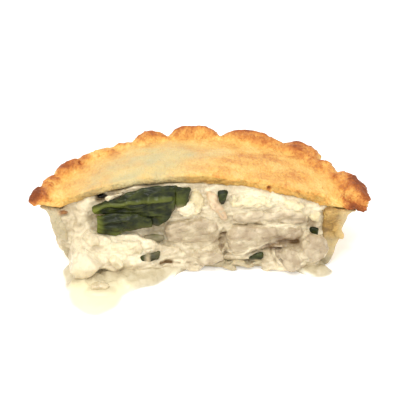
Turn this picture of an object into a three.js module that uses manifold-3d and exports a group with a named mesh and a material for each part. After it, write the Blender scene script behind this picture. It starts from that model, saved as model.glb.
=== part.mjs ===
// Half of a round chicken pot pie, standing on its flat base with the cut side towards -Y.
// Millimetres, +Z up. While it is being built, the pie's own centre is at x = 0, y = 0 and the
// plate is z = 0. At the end everything is moved so that the origin is the middle of the
// underside of the bounding box.
import * as THREE from 'three';
import { mergeVertices } from 'three/addons/utils/BufferGeometryUtils.js';
import { ImprovedNoise } from 'three/addons/math/ImprovedNoise.js';
import Module from 'manifold-3d';

const wasm = await Module();
wasm.setup();

// ---------------------------------------------------------------- driving dimensions

const RIM_RADIUS = 62.3; // crimped rim, at the middle of a crimp
const WALL_TOP_RADIUS = 55.5; // outside of the case, just under its flange
const BASE_RADIUS = 48.5; // outside of the case, at the plate
const FLANGE_RADIUS = 58.4; // outside of the case's flange, which the lid's edge folds over
const FLANGE_HEIGHT = 21.5; // underside of the case's flange
const SEAM_HEIGHT = 24; // top of the case's flange, where the lid starts
const WALL_THICKNESS = 4.5;
const BASE_THICKNESS = 2.8;
const CORNER = 2; // chamfer inside the case, between base and wall
const LID_THICKNESS = 3.1;
const DOME_RADIUS = 50; // where the dome of the lid meets the crimped rim
const DOME_RISE = 9.4; // rise of the lid's underside from there to the middle
const CREST_HEIGHT = 29.6; // top of the crimped rim
const DOME_LEAN = 0.03; // the dome falls by this share of the way towards +X
const DOME_ROLL = 0.9; // how far the dome swells and sinks over uneven filling
const END_CURL = 2.4; // how far the -X end of the rim has curled up in the oven
const END_DROP = 0.3; // how far the +X end of the rim hangs
const END_THIN = 1.7; // how much thinner the rim is at both ends, from below
const FOOT_SPREAD = 2.6; // how far the foot of the case has spread at the +X end
const WALL_BULGE = 3.8; // how much thicker the wall is at the top of the +X end
const CUT_HOLLOW = 2.6; // how far the middle of the cut has been pulled away
const CASE_STAND = 1.1; // how far the case's cut edge stands out beyond the lid's
const BASE_STAND = 2.4; // how far the torn base stands out beyond the wall, in the middle
const END_STAND = 1.3; // how far the thick ends of the rim stand out beyond the cut

const GAP = 0.3; // clearance between neighbouring pieces
const SEAL = 0.5; // how far a piece's corners are pushed out to leave that clearance at its faces

const LID_SEGMENTS = 120; // of the full turn, so that one step is 3 degrees
const CASE_SEGMENTS = 60;
const FILLING_SEGMENTS = 60;
const MERGE_DISTANCE = 1e-3;

// Crimps of the rim, in order round it from the +X end: the angle where each one starts, in
// degrees, how far it stands out and how far it stands up. They are as uneven as fingers leave them.
const CRIMPS = [
  [-15, 0.8, 2.6],
  [24, -1, 0],
  [36.5, 3, 0.4],
  [55, 1.2, 1],
  [81, 0.8, 1.3],
  [102, 0.4, 0.8],
  [117, -1.6, -1.2],
  [126, -1.6, -1],
  [144, -2.8, 0.4],
  [159, -2, -1.4],
  [171, 0, 0],
  [195, 0, 0],
  [345, 0, 0],
];
const NOTCH_IN = 2.4; // how far the notches between crimps cut in
const NOTCH_DOWN = 1.8; // how far they dip

// ---------------------------------------------------------------- helpers

const perlin = new ImprovedNoise();

// Smooth noise from -1 to 1 with bumps about one cell across.
const noiseAt = (x, y, z, cell) => perlin.noise(x / cell, y / cell, z / cell);

const { smoothstep, clamp, degToRad, radToDeg } = THREE.MathUtils;

// Moves every vertex of a geometry by a function that changes the point it is given.
function shaped(geometry, move) {
  const position = geometry.getAttribute('position');
  const point = new THREE.Vector3();
  for (let i = 0; i < position.count; i += 1) {
    point.fromBufferAttribute(position, i);
    move(point);
    position.setXYZ(i, point.x, point.y, point.z);
  }
  return geometry;
}

// A closed geometry as a manifold solid. Faces that close to a point, as at a pole, are dropped.
function solidOf(geometry) {
  const bare = geometry.clone();
  bare.deleteAttribute('normal');
  bare.deleteAttribute('uv');
  const merged = mergeVertices(bare, MERGE_DISTANCE);
  const corners = merged.index.array;
  const kept = [];
  for (let i = 0; i < corners.length; i += 3) {
    const [a, b, c] = corners.subarray(i, i + 3);
    if (a !== b && b !== c && c !== a) kept.push(a, b, c);
  }
  const vertProperties = merged.getAttribute('position').array;
  return new wasm.Manifold(new wasm.Mesh({ numProp: 3, vertProperties, triVerts: new Uint32Array(kept) }));
}

function geometryOf(solid) {
  const { vertProperties, triVerts } = solid.getMesh();
  return new THREE.BufferGeometry()
    .setAttribute('position', new THREE.BufferAttribute(vertProperties, 3))
    .setIndex(new THREE.BufferAttribute(triVerts, 1));
}

// The outward direction at each vertex: its faces' normals, weighted by their angles there.
function outwardAt(geometry) {
  const position = geometry.getAttribute('position');
  const outward = Array.from({ length: position.count }, () => new THREE.Vector3());
  const corners = geometry.index.array;
  const face = new THREE.Triangle();
  const normal = new THREE.Vector3();
  for (let i = 0; i < corners.length; i += 3) {
    face.setFromAttributeAndIndices(position, corners[i], corners[i + 1], corners[i + 2]);
    face.getNormal(normal);
    const points = [face.a, face.b, face.c];
    points.forEach((point, k) => {
      const toNext = points[(k + 1) % 3].clone().sub(point);
      const toLast = points[(k + 2) % 3].clone().sub(point);
      outward[corners[i + k]].addScaledVector(normal, toNext.angleTo(toLast));
    });
  }
  return outward.map((direction) => direction.normalize());
}

// The solid with its surface pushed out, to cut its neighbour back by the clearance.
function grown(solid) {
  const geometry = geometryOf(solid);
  const outward = outwardAt(geometry);
  let i = 0;
  return solidOf(
    shaped(geometry, (p) => {
      p.addScaledVector(outward[i], SEAL);
      i += 1;
    }),
  );
}

// The largest of the bodies that a cut has left, once vertices that all but touch are merged.
function largestBody(solid) {
  const bodies = solidOf(geometryOf(solid)).decompose();
  bodies.sort((a, b) => b.volume() - a.volume());
  return bodies[0];
}

// The solid less every neighbour, each with its clearance.
function clearOf(solid, neighbours) {
  const cut = neighbours.reduce((left, neighbour) => left.subtract(grown(neighbour)), solid);
  return largestBody(cut);
}

// A solid of revolution about Z, from [radius, height] points, bent by warp.
function revolved(profile, warp, segments) {
  const points = profile.map(([radius, height]) => new THREE.Vector2(radius, height));
  const lathe = new THREE.LatheGeometry(points, segments).rotateX(Math.PI / 2);
  return solidOf(shaped(lathe, warp));
}

// The space in front of the surface y = faceAt(x, z). Cutting a solid with it leaves that face.
function frontOf(faceAt, columns, rows) {
  const [width, depth, height] = [140, 90, 44];
  const block = new THREE.BoxGeometry(width, depth, height, columns, 1, rows);
  block.translate(0, -depth / 2, height / 2 - 2);
  return solidOf(
    shaped(block, (p) => {
      if (p.y > -depth / 2) p.y = faceAt(p.x, p.z);
    }),
  );
}

// Everything below a height, to trim what would reach through the plate.
function below(height) {
  const depth = 40;
  return solidOf(new THREE.BoxGeometry(200, 200, depth).translate(0, 0, height - depth / 2));
}

// ---------------------------------------------------------------- pastry

// How far the rim stands out and up at an angle round the pie, in degrees.
function crimpAt(angle) {
  const turned = angle < CRIMPS[0][0] ? angle + 360 : angle;
  const last = CRIMPS.findLastIndex(([start]) => start <= turned);
  const [start, out, up] = CRIMPS[last];
  const end = last + 1 < CRIMPS.length ? CRIMPS[last + 1][0] : CRIMPS[0][0] + 360;
  const lobe = Math.sqrt(Math.max(0, Math.sin((Math.PI * (turned - start)) / (end - start))));
  return {
    out: THREE.MathUtils.lerp(-NOTCH_IN, out, lobe),
    up: THREE.MathUtils.lerp(-NOTCH_DOWN, up, lobe),
  };
}

// How far the inside of the wall is pulled in at the +X end, where the pastry is thicker.
function bulgeAt(p, radius) {
  const outside = THREE.MathUtils.lerp(BASE_RADIUS, WALL_TOP_RADIUS, p.z / FLANGE_HEIGHT);
  const inner = smoothstep(outside - radius, 1, WALL_THICKNESS - 1) * smoothstep(p.x, 36, 44);
  const high = smoothstep(p.z, 9, 20) * (1 - smoothstep(p.z, SEAM_HEIGHT, SEAM_HEIGHT + 1));
  return WALL_BULGE * inner * high;
}

// Crimps the rim and curls its ends, makes the dome lean and roll, and spreads the foot.
function warpPastry(p) {
  const radius = Math.hypot(p.x, p.y);
  if (radius === 0) return;
  const rim = smoothstep(radius, DOME_RADIUS + 2, RIM_RADIUS - 2);
  const crimp = crimpAt(radToDeg(Math.atan2(p.y, p.x)));
  const upper = smoothstep(p.z, SEAM_HEIGHT + 1, CREST_HEIGHT - 1.5);
  const dome = p.z > SEAM_HEIGHT - 1 ? 1 - smoothstep(radius, DOME_RADIUS / 2, DOME_RADIUS) : 0;
  const roll = DOME_ROLL * noiseAt(p.x, p.y, 0, 17);
  const curl = (p.x < 0 ? END_CURL : -END_DROP) * (p.x / RIM_RADIUS) ** 6;
  const lower = 1 - smoothstep(p.z, FLANGE_HEIGHT, CREST_HEIGHT - 3);
  const thin = END_THIN * lower * smoothstep(Math.abs(p.x), 46, 58);
  p.z += rim * (upper * crimp.up + curl + thin) + dome * (roll - DOME_LEAN * p.x);
  const stretch = 1 + (rim * crimp.out) / radius;
  p.x *= stretch;
  p.y *= stretch;
  const foot = 1 - smoothstep(p.z, 6, FLANGE_HEIGHT);
  p.x += FOOT_SPREAD * foot * Math.max(0, p.x / RIM_RADIUS) - bulgeAt(p, radius);
}

const domeHeight = (radius) => SEAM_HEIGHT + GAP + DOME_RISE * (1 - (radius / DOME_RADIUS) ** 2);

// Radii at which the dome is sampled, from the middle out.
const DOME_RINGS = [0, 12, 23, 33, 42];

// The cut is hollow in the middle and ragged.
function cutFace(x, z) {
  const hollow = CUT_HOLLOW * (1 - clamp(Math.abs(x) / RIM_RADIUS, 0, 1) ** 2);
  return hollow + 0.7 * noiseAt(x, 3, z, 7) + 0.35 * noiseAt(x, 9, z, 2.6);
}

// The lid's cut, past which the thick ends of the rim stand out.
const lidFace = (x, z) => cutFace(x, z) - END_STAND * smoothstep(Math.abs(x), 48, 55);

// The case's cut, past which the torn base stands out in the middle.
function caseFace(x, z) {
  const torn = (1 - smoothstep(Math.abs(x), 18, 36)) * (1 - smoothstep(z, BASE_THICKNESS, 5));
  return cutFace(x, z) - CASE_STAND - torn * (BASE_STAND + 0.8 * noiseAt(x, 27, 0, 5));
}

function pastryLid() {
  const underside = DOME_RINGS.map((r) => [r, domeHeight(r)]);
  const rim = [
    [DOME_RADIUS, SEAM_HEIGHT + GAP],
    [FLANGE_RADIUS + GAP, SEAM_HEIGHT + GAP],
    [FLANGE_RADIUS + 0.6, FLANGE_HEIGHT + 0.6],
    [RIM_RADIUS - 1.8, FLANGE_HEIGHT + 0.4],
    [RIM_RADIUS - 0.1, CREST_HEIGHT - 4.2],
    [RIM_RADIUS - 0.3, CREST_HEIGHT - 1.8],
    [RIM_RADIUS - 2.6, CREST_HEIGHT],
    [RIM_RADIUS - 6, CREST_HEIGHT - 0.3],
    [RIM_RADIUS - 9, CREST_HEIGHT - 1.7],
    [DOME_RADIUS, domeHeight(DOME_RADIUS) + LID_THICKNESS + 0.9],
  ];
  const top = DOME_RINGS.map((r) => [r, domeHeight(r) + LID_THICKNESS]).reverse();
  const whole = revolved([...underside, ...rim, ...top], warpPastry, LID_SEGMENTS);
  return largestBody(whole.subtract(frontOf(lidFace, 52, 6)));
}

function pastryCase(lid) {
  const innerTop = WALL_TOP_RADIUS - WALL_THICKNESS;
  const innerBase = BASE_RADIUS - WALL_THICKNESS;
  const profile = [
    [0, 0],
    [BASE_RADIUS - 1.6, 0],
    [BASE_RADIUS, 1.4],
    [WALL_TOP_RADIUS, FLANGE_HEIGHT],
    [FLANGE_RADIUS - 0.6, FLANGE_HEIGHT + 0.2],
    [FLANGE_RADIUS, SEAM_HEIGHT - 1],
    [FLANGE_RADIUS - 0.6, SEAM_HEIGHT],
    [innerTop, SEAM_HEIGHT],
    [innerBase, BASE_THICKNESS + CORNER],
    [innerBase - CORNER, BASE_THICKNESS],
    [0, BASE_THICKNESS],
  ];
  const whole = revolved(profile, warpPastry, CASE_SEGMENTS);
  return clearOf(whole.subtract(frontOf(caseFace, 36, 10)), [lid]);
}

// ---------------------------------------------------------------- pieces of food

// A rounded piece that lies flat on z = 0: a round one, pulled out until it fills the outline, a
// closed curve through [x, y] points in anticlockwise order. The profile runs from the middle of
// its underside to the middle of its top, as [share of the way out, height] points.
function cushion(outline, profile, segments) {
  const curve = new THREE.CatmullRomCurve3(outline.map(([x, y]) => new THREE.Vector3(x, y, 0)), true);
  const middle = new THREE.Box3().setFromPoints(curve.points).getCenter(new THREE.Vector3());
  const points = profile.map(([share, height]) => new THREE.Vector2(share, height));
  const round = new THREE.LatheGeometry(points, segments).rotateX(Math.PI / 2);
  return shaped(round, (p) => {
    const share = Math.hypot(p.x, p.y);
    const turn = (Math.atan2(p.y, p.x) / (2 * Math.PI) + 1) % 1;
    const edge = curve.getPoint(turn);
    const height = p.z;
    p.lerpVectors(middle, edge, share).setZ(height);
  });
}

// A torn or cut piece that shows in the cut. Its outline is what is seen from the cut side, as
// [x, z] points in anticlockwise order. y is its middle, lean is how far its top lies back and rough
// is how far its surface is pulled about.
function chunk({ outline, y, depth, lean = 0, rough = 0.7, seed, segments = 14 }) {
  const profile = [
    [0, -0.5],
    [0.72, -0.42],
    [0.97, -0.1],
    [1, 0.14],
    [0.9, 0.38],
    [0.64, 0.48],
    [0, 0.5],
  ];
  const sized = profile.map(([share, height]) => [share, height * depth]);
  const standing = cushion(outline, sized, segments).rotateX(Math.PI / 2).translate(0, y, 0);
  standing.computeBoundingBox();
  const waist = standing.boundingBox.getCenter(new THREE.Vector3()).z;
  const pull = (p, axis) => rough * noiseAt(p.x + 9 * axis, p.y + 31 * seed, p.z, 3.4);
  const torn = shaped(standing, (p) => {
    p.y += lean * (p.z - waist);
    p.add(new THREE.Vector3(pull(p, 1), pull(p, 2), pull(p, 3)));
  });
  return solidOf(torn);
}

// A thin wavy leaf, seen from the cut side, between its bottom and top edges: curves through [x, z]
// points, towards +X. Both edges curl back.
function leaf({ top, bottom, y, curl = 1, wave = 0.6, seed, steps = [12, 4] }) {
  const thickness = 0.8;
  const [along, across] = steps;
  const edgeOf = (points) => new THREE.CatmullRomCurve3(points.map(([x, z]) => new THREE.Vector3(x, y, z)));
  const topEdge = edgeOf(top);
  const bottomEdge = edgeOf(bottom);
  const sheet = new THREE.PlaneGeometry(2, 2, along, across);
  const flat = sheet.getAttribute('position');
  const count = flat.count;
  const vertices = [];
  for (const side of [-thickness / 2, thickness / 2]) {
    for (let i = 0; i < count; i += 1) {
      const s = flat.getX(i);
      const t = flat.getY(i);
      const share = (s + 1) / 2;
      const p = bottomEdge.getPoint(share).lerp(topEdge.getPoint(share), (t + 1) / 2);
      p.y += curl * (t * t + 0.5 * s ** 4) + wave * noiseAt(p.x + seed, 0, p.z, 4.5) + side;
      vertices.push(p.x, p.y, p.z);
    }
  }
  const faces = [];
  const index = sheet.index.array;
  for (let i = 0; i < index.length; i += 3) {
    const [a, b, c] = index.subarray(i, i + 3);
    faces.push(a, b, c, a + count, c + count, b + count);
  }
  for (const [a, b] of sheetEdge(along, across)) {
    faces.push(b, a, a + count, b, a + count, b + count);
  }
  const position = new THREE.Float32BufferAttribute(vertices, 3);
  return solidOf(new THREE.BufferGeometry().setAttribute('position', position).setIndex(faces));
}

// The border of a grid of vertices, as pairs in order round it, as its faces run.
function sheetEdge(along, across) {
  const row = along + 1;
  const loop = [];
  for (let i = 0; i < across; i += 1) loop.push(i * row);
  for (let i = 0; i < along; i += 1) loop.push(across * row + i);
  for (let i = across; i > 0; i -= 1) loop.push(i * row + along);
  for (let i = along; i > 0; i -= 1) loop.push(i);
  return loop.map((a, i) => [a, loop[(i + 1) % loop.length]]);
}

// Pieces of cooked chicken. The first has rolled out of the case.
const CHICKEN = {
  chicken_spilled: {
    outline: [
      [-46.3, 8], [-46, 4.2], [-43.5, 2.7], [-39.6, 2.9],
      [-36, 4], [-34.6, 6.6], [-38.5, 10.8], [-43, 12.4],
    ],
    y: -10.2,
    depth: 9,
    rough: 1,
    seed: 1,
    segments: 16,
  },
  chicken_left: {
    outline: [
      [-45.6, 22], [-45, 18.4], [-42.6, 17.4], [-40, 19],
      [-39.4, 23], [-41.6, 25.2], [-44.4, 24.8],
    ],
    y: 2.6,
    depth: 6,
    seed: 2,
    segments: 14,
  },
  chicken_middle: {
    outline: [
      [-12.6, 15], [-11, 11.4], [-4, 9.8], [4, 9.8], [9, 12],
      [8.8, 17], [5, 19.4], [-3, 20], [-9, 19],
    ],
    y: 2.6,
    depth: 8,
    seed: 3,
    segments: 18,
  },
  chicken_low_middle: {
    outline: [[-1.8, 6.4], [0, 3.6], [5, 3], [9.4, 4.6], [10, 6.8], [5, 9.4], [0, 9]],
    y: -3,
    depth: 5,
    seed: 4,
  },
  chicken_strip: {
    outline: [[3.6, 30], [5, 26], [7.6, 22], [10.4, 19], [11.6, 21], [9.6, 25], [7.6, 28], [6.4, 31]],
    y: 1.4,
    depth: 4,
    rough: 0.4,
    seed: 5,
    segments: 14,
  },
  chicken_upper_right: {
    outline: [
      [12.6, 19.4], [20, 18.4], [30, 18.6], [38, 18.4], [41.4, 19.4],
      [39.4, 22.4], [32, 23.2], [22, 23], [14.4, 21.8],
    ],
    y: 3.4,
    depth: 7,
    seed: 6,
    segments: 18,
  },
  chicken_slab: {
    outline: [
      [11, 10], [12.4, 6.2], [16, 4.6], [19.4, 5.6], [24, 8.2], [30, 8.8],
      [36, 11.4], [41, 14.2], [37, 17], [24, 16.6], [13.6, 16],
    ],
    y: 1.6,
    depth: 7.6,
    seed: 7,
    segments: 20,
  },
  chicken_right: {
    outline: [
      [39.4, 10.4], [41.8, 6.4], [45, 6], [47.8, 8.8],
      [48, 12.2], [45.6, 15], [42, 15.4], [39.6, 13.2],
    ],
    y: -4.6,
    depth: 5.4,
    seed: 8,
    segments: 14,
  },
  chicken_low_right: {
    outline: [
      [27.4, 7.4], [30, 3.2], [33.6, 2], [38, 2.4],
      [40.6, 3.8], [39, 7.6], [35, 10], [29.8, 10],
    ],
    y: -4.4,
    depth: 7,
    seed: 9,
  },
};

// Soft white cheese in lumps.
const CHEESE = {
  cheese_1: {
    outline: [[-5, 24.6], [-2.4, 22.2], [0, 23.4], [1.6, 27], [0.6, 30.6], [-2, 30], [-3, 26.8]],
    y: 2.4,
    depth: 6,
    rough: 0.8,
    seed: 11,
    segments: 14,
  },
  cheese_2: {
    outline: [
      [11.6, 26.4], [14.6, 24.4], [22, 24.4], [28, 25],
      [29.6, 26.8], [25, 28.4], [18, 29], [12.6, 28.6],
    ],
    y: 3.4,
    depth: 7,
    seed: 12,
    segments: 16,
  },
  cheese_3: {
    outline: [[32, 25.4], [34, 24], [38.6, 23.6], [40, 24.6], [38, 26.2], [35, 27.4], [32.8, 27.2]],
    y: 3,
    depth: 6,
    rough: 0.5,
    seed: 13,
    segments: 12,
  },
  cheese_4: {
    outline: [[42, 22], [42.4, 19.6], [44.2, 19], [45.6, 20.8], [45.3, 22.8], [43.4, 23.6]],
    y: 3,
    depth: 5,
    rough: 0.4,
    seed: 14,
    segments: 12,
  },
  cheese_5: {
    outline: [[-42.4, 15], [-40.6, 13], [-37.4, 11.2], [-35.8, 12.8], [-37, 15.8], [-40.2, 17.2]],
    y: -4.4,
    depth: 5.6,
    rough: 0.5,
    seed: 15,
    segments: 12,
  },
  cheese_6: {
    outline: [
      [-33.8, 11.4], [-32, 8.6], [-27, 7.6], [-21, 8],
      [-19.6, 10.4], [-21, 12.8], [-27, 12.2], [-31.4, 12.2],
    ],
    y: -2,
    depth: 7.4,
    seed: 16,
    segments: 18,
  },
};

// Cooked vegetables: a cut of leek stalk, a slice of onion beside the cheese and a piece of onion
// that lies on the sauce.
const VEGETABLES = {
  leek_piece: {
    outline: [[-32.2, 8.2], [-29.4, 4.6], [-27.2, 5.6], [-30.2, 9.2]],
    y: -8,
    depth: 4.6,
    rough: 0.2,
    seed: 21,
    segments: 12,
  },
  onion_slice: {
    outline: [[0.8, 21.4], [3.2, 20.4], [5.4, 22], [4.6, 25], [3, 26.4], [2.4, 23.8]],
    y: 1.4,
    depth: 2.4,
    rough: 0.2,
    seed: 22,
    segments: 12,
  },
  onion_piece: {
    outline: [[-38.8, 3.7], [-38, 2.6], [-35, 2.4], [-31.8, 2.8], [-31.8, 4.2], [-35.4, 4.9]],
    y: -17.6,
    depth: 5,
    rough: 0.2,
    seed: 23,
    segments: 12,
  },
};

// Spinach: two large folds of one wilted leaf, the tip that folds down beside them, and scraps.
const SPINACH = {
  spinach_upper: {
    top: [
      [-38.6, 25.5], [-34.1, 27.2], [-29.3, 28.6], [-24.5, 30.2],
      [-18.2, 31.6], [-12.4, 32.2], [-7, 32.4],
    ],
    bottom: [
      [-37.8, 23.2], [-33.6, 23.2], [-28.4, 23.2], [-22.5, 22.8],
      [-18, 20], [-14, 18], [-8.8, 24],
    ],
    y: -0.9,
    curl: 0.7,
    seed: 31,
    steps: [12, 3],
  },
  spinach_lower: {
    top: [[-36.7, 22.2], [-34.1, 23], [-28.2, 23.5], [-22.4, 23.3], [-17.2, 21.4]],
    bottom: [[-36, 14.8], [-32.6, 14.6], [-28.5, 15.8], [-24.4, 17.1], [-16.6, 18.4]],
    y: -2.6,
    curl: 0.8,
    seed: 32,
    steps: [9, 3],
  },
  spinach_tip: {
    top: [[-7.4, 32.4], [-4.8, 32.9], [-2.6, 32.4]],
    bottom: [[-7.2, 26.6], [-5.6, 25.4], [-3.4, 28.2]],
    y: -2.3,
    curl: 0.6,
    seed: 33,
    steps: [3, 4],
  },
  spinach_scrap_1: {
    top: [[8, 31.4], [9.4, 31.7], [10.7, 31.2]],
    bottom: [[8.4, 27.2], [9.2, 26.6], [10.4, 28.2]],
    y: 0.6,
    curl: 0.4,
    seed: 34,
    steps: [3, 3],
  },
  spinach_scrap_2: {
    top: [[-19.4, 13.4], [-16, 14.2], [-13, 13.6]],
    bottom: [[-19.2, 12.2], [-16, 11.9], [-13.2, 12.2]],
    y: -1.2,
    curl: 0.3,
    seed: 35,
    steps: [5, 2],
  },
  spinach_scrap_3: {
    top: [[-22.6, 5.8], [-18.6, 8.2], [-13.8, 9.4]],
    bottom: [[-22, 4.6], [-18, 5.8], [-14.4, 7]],
    y: -5.6,
    curl: 0.3,
    seed: 36,
    steps: [5, 2],
  },
  spinach_scrap_4: {
    top: [[42.3, 15.4], [43.6, 16], [44.9, 15.6]],
    bottom: [[42.7, 13], [43.6, 12.2], [44.6, 13.4]],
    y: 0.6,
    curl: 0.3,
    seed: 37,
    steps: [3, 3],
  },
  spinach_scrap_5: {
    top: [[20, 4.6], [22, 6], [24.6, 6.8]],
    bottom: [[20.4, 3.4], [22.4, 3.9], [24.4, 5]],
    y: -1.8,
    curl: 0.3,
    seed: 38,
    steps: [4, 2],
  },
};

// ---------------------------------------------------------------- filling and sauce

// Where the filling has pulled away from the cut, as [x, z, half width, half height, depth].
const HOLLOWS = [
  [34.4, 10.6, 5, 4, 4],
  [9.8, 11, 2.4, 6, 2.6],
  [-36.5, 28.4, 3.4, 2.6, 3],
  [43.6, 14, 3, 4, 2],
];

// The filling's own face, just behind the cut.
function fillingFace(x, z) {
  const hollows = HOLLOWS.map(([atX, atZ, halfWidth, halfHeight, depth]) => {
    const away = Math.hypot((x - atX) / halfWidth, (z - atZ) / halfHeight);
    return depth * (1 - smoothstep(away, 0.2, 1));
  });
  const deepest = Math.max(...hollows);
  return 1.8 + deepest + 0.8 * noiseAt(x, 21, z, 8) + 0.4 * noiseAt(x, 33, z, 4.4);
}

// Where the filling has slumped out of the case, as outlines seen from the cut side.
const SLUMPS = [
  {
    outline: [[-47.6, 6], [-46, -3], [-38, -5], [-30, -4], [-27, 4], [-31, 13], [-40, 17], [-46, 14]],
    y: -2.6,
    depth: 13,
    lean: 0.4,
    seed: 41,
  },
  {
    outline: [[-33, 4], [-31, -4], [-22, -5], [-12, -3], [-10, 4], [-15, 9], [-26, 10.6]],
    y: -1.6,
    depth: 12,
    lean: 0.4,
    seed: 42,
  },
  {
    outline: [[-17, 3], [-15, -3], [-8, -3.4], [1, -2], [2, 4], [-5, 7.6], [-13, 8]],
    y: -0.6,
    depth: 9.4,
    lean: 0.3,
    seed: 43,
  },
  {
    outline: [[23, 3], [26, -2], [36, -3], [44, -2], [46.6, 4], [44, 9], [36, 8], [27, 6.6]],
    y: -0.6,
    depth: 9,
    seed: 44,
  },
];

// The creamy filling runs through the whole half, just inside the pastry.
function filling(pieCase, pieces) {
  const innerBase = BASE_RADIUS - WALL_THICKNESS;
  const profile = [
    [0, BASE_THICKNESS + SEAL],
    [innerBase - CORNER, BASE_THICKNESS + SEAL],
    [innerBase - SEAL, BASE_THICKNESS + CORNER + SEAL],
    [WALL_TOP_RADIUS - WALL_THICKNESS - SEAL, SEAM_HEIGHT - SEAL],
    ...DOME_RINGS.map((r) => [r, domeHeight(r) - SEAL]).reverse(),
  ];
  const inside = revolved(profile, warpPastry, FILLING_SEGMENTS).subtract(frontOf(fillingFace, 28, 7));
  const slumped = SLUMPS.map((slump) => chunk(slump)).reduce((whole, part) => whole.add(part));
  const outside = slumped.subtract(grown(pieCase)).subtract(below(0));
  return clearOf(inside.add(outside), pieces);
}

// Outlines on the plate of the sauce that has run out, as [x, y] points of a closed curve.
const POOL_OUTLINE = [
  [-50, -1.8], [-50, -8.4], [-48.9, -15.5], [-46.8, -24.7], [-41.8, -32.6], [-35.6, -35.4], [-30, -32],
  [-25.6, -23.4], [-21.6, -16.8], [-15.2, -14.4], [-10.8, -10.4], [-5.2, -5.6], [-3, -2.6], [-20, -1.6],
  [-36, -1.6],
];
const TRICKLE_OUTLINE = [
  [31, -2.2], [36.6, -4.4], [40.3, -7], [44.9, -8.9], [49, -7.4], [51.4, -3.4], [49, -1.6], [40, -1.6],
];

// A pool of sauce with a rounded edge, on the plate.
function pool(outline, thickness, segments) {
  const profile = [
    [0, 0],
    [0.96, 0],
    [1, 0.35 * thickness],
    [0.95, 0.8 * thickness],
    [0.82, thickness],
    [0, 1.05 * thickness],
  ];
  return solidOf(cushion(outline, profile, segments));
}

// ---------------------------------------------------------------- assembly

// Builds each entry of a table with its maker.
function built(table, maker) {
  return Object.fromEntries(Object.entries(table).map(([name, spec]) => [name, maker(spec)]));
}

const lid = pastryLid();
const pieCase = pastryCase(lid);
const chicken = built(CHICKEN, chunk);
const cheese = built(CHEESE, chunk);
const vegetables = built(VEGETABLES, chunk);
const spinach = built(SPINACH, leaf);
const sauce = {
  sauce_pool: pool(POOL_OUTLINE, 1.8, 40),
  sauce_trickle: pool(TRICKLE_OUTLINE, 1, 20),
};
const pieces = Object.values({ ...chicken, ...cheese, ...vegetables, ...spinach, ...sauce });
const creamyFilling = filling(pieCase, pieces);

const finish = (color, roughness) => new THREE.MeshStandardMaterial({ color, roughness, metalness: 0 });
const FINISHES = [
  [{ pastry_lid: lid }, finish(0xe3a654, 0.55)],
  [{ pastry_case: pieCase }, finish(0xe6c588, 0.65)],
  [{ filling: creamyFilling }, finish(0xe2d8c2, 0.35)],
  [chicken, finish(0xd8c8b0, 0.45)],
  [cheese, finish(0xf3ead0, 0.5)],
  [vegetables, finish(0xe4dcbc, 0.35)],
  [spinach, finish(0x2d3b1e, 0.3)],
  [sauce, finish(0xf2e8c4, 0.2)],
];

const pie = new THREE.Group();
for (const [solids, material] of FINISHES) {
  for (const [name, solid] of Object.entries(solids)) {
    const mesh = new THREE.Mesh(geometryOf(solid), material);
    mesh.name = name;
    pie.add(mesh);
  }
}

// The origin is the middle of the bounding box, on the plate.
const middle = new THREE.Box3().setFromObject(pie).getCenter(new THREE.Vector3());
pie.position.set(-middle.x, -middle.y, 0);

export default pie;
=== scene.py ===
"""Half of a round chicken pot pie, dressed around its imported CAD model.

Shapes are worked out in the pie's own millimetres: its centre is x = 0, y = 0, the cut faces -Y and
the plate is z = 0. The Blender objects are in metres, in the row frame.
"""

import math
from typing import NamedTuple

import bmesh
import bpy
import numpy as np
from mathutils import Matrix, Vector, noise
from mathutils.bvhtree import BVHTree
from mathutils.kdtree import KDTree


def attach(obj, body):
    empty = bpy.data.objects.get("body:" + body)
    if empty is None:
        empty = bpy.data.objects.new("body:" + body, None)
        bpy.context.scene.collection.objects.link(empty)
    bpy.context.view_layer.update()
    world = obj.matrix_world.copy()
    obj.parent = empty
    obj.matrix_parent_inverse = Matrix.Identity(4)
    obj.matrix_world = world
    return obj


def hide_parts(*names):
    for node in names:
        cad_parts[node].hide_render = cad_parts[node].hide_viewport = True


NOISE_SEED = 3
noise.seed_set(NOISE_SEED)  # noise_vector's offsets follow it, so each run gives the same shapes

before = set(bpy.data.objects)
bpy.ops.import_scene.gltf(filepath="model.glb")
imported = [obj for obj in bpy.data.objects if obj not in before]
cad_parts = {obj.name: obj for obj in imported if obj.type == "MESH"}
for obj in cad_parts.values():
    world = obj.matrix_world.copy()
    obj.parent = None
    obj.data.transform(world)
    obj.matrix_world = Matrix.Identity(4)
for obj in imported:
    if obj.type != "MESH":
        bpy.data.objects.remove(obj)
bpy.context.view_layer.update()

MM = 0.001
PIE_CENTRE = np.array([-0.396, -13.791, 0.0])  # the pie's own centre in the row frame
RIM_RADIUS = 62.3  # the crimped rim, at the middle of a crimp
DOME_RADIUS = 50.0  # where the lid's dome ends and its rim starts
SEAM_HEIGHT = 24.0  # where the lid lies on the case
CREST_HEIGHT = 29.6  # the top of the crimped rim
CUT_HOLLOW = 2.6  # how far the middle of the cut has been pulled away
CUT_HALF_WIDTH = 46.0  # half the filling's width at the cut
FLAT_BELOW = 0.3  # what is lower than this is an underside, and stays flat

SEED_STEP = np.array([13.7, 7.3, 3.1])  # how far apart in the noise two seeds are


# ---------------------------------------------------------------- points and noise


def smoothstep(value, low, high):
    """0 below low, 1 above high, and a smooth rise between."""
    share = np.clip((value - low) / (high - low), 0, 1)
    return share * share * (3 - 2 * share)


def fade(value, low, high):
    """1 below low, 0 above high, and a smooth fall between."""
    return 1 - smoothstep(value, low, high)


def noise_at(points, cell, seed=0):
    """Smooth noise from -1 to 1 at each point, with bumps about one cell across."""
    places = points / np.asarray(cell, float) + SEED_STEP * (seed + 1)
    return np.array([noise.noise(place) for place in places.tolist()])


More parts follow.
